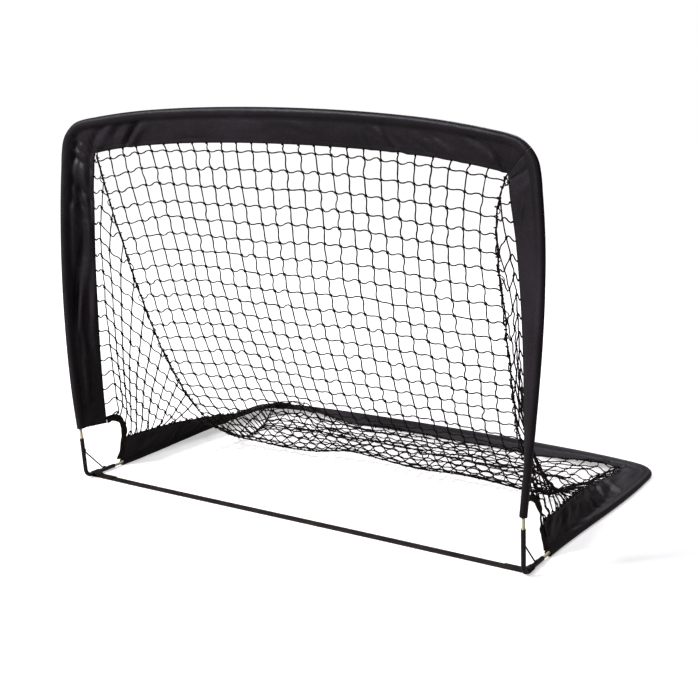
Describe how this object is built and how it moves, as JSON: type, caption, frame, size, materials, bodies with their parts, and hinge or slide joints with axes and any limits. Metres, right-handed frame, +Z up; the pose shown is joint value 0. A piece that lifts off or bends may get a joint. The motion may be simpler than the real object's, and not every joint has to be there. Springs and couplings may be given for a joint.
{
  "type": "folding soccer goal",
  "caption": "Small folding soccer goal: bent rod arch and ground frame in cloth sleeves, steel front elbows, floor strap and a slack knotted net.",
  "frame": {"origin": "on the floor, under the middle of the goal-line strap", "axes": "+X to the right for someone who faces the mouth, +Y from the goal line into the goal, +Z up"},
  "size_m": [1.2038, 0.9, 0.9005],
  "materials": {
    "black_steel": "black, semi-gloss",
    "brace_wire": "dark, semi-gloss",
    "glass_fibre": "pale yellow glass fibre",
    "ferrule_steel": "plain steel",
    "sleeve_cloth": "black coated polyester, soft sheen",
    "binding_tape": "black folded binding tape",
    "strap_webbing": "black-brown woven webbing",
    "net_cord": "black knotted twine",
    "seam_cord": "black lacing cord"
  },
  "bodies": {
    "ground_frame": {"goal_line_strap": "strap_webbing", "left_base_elbow": "black_steel", "right_base_elbow": "black_steel", "left_elbow_brace": "brace_wire", "right_elbow_brace": "brace_wire", "left_ground_rod": "glass_fibre", "right_ground_rod": "glass_fibre", "left_rear_elbow": "black_steel", "right_rear_elbow": "black_steel", "left_rear_rod": "glass_fibre", "right_rear_rod": "glass_fibre", "rear_ferrule": "ferrule_steel", "left_ground_sleeve": "sleeve_cloth", "right_ground_sleeve": "sleeve_cloth", "rear_sleeve": "sleeve_cloth", "left_binding": "binding_tape", "right_binding": "binding_tape", "rear_net": "net_cord", "left_side_net": "net_cord", "right_side_net": "net_cord", "left_seam_cord": "seam_cord", "right_seam_cord": "seam_cord"},
    "post_feet": {"left_post_foot": "glass_fibre", "right_post_foot": "glass_fibre"},
    "front_arch": {"left_post_rod": "glass_fibre", "right_post_rod": "glass_fibre", "left_top_elbow": "black_steel", "right_top_elbow": "black_steel", "left_top_rod": "glass_fibre", "right_top_rod": "glass_fibre", "top_ferrule": "ferrule_steel", "left_post_sleeve": "sleeve_cloth", "right_post_sleeve": "sleeve_cloth", "top_sleeve": "sleeve_cloth"}
  },
  "joints": [
    {"name": "arch_pull_out", "type": "slide", "parent": "ground_frame", "child": "post_feet", "axis": [0, -0.1219, 0.9925], "range_m": [0, 0.05], "deforming": ["rear_net", "left_side_net", "right_side_net", "left_seam_cord", "right_seam_cord", "left_binding", "right_binding"]},
    {"name": "arch_fold", "type": "hinge", "parent": "post_feet", "child": "front_arch", "pos_m": [0, -0.04412, 0.12981], "axis": [-1, 0, 0], "range_deg": [0, 90], "deforming": ["rear_net", "left_side_net", "right_side_net", "left_seam_cord", "right_seam_cord", "left_binding", "right_binding", "left_post_sleeve", "right_post_sleeve"]}
  ]
}
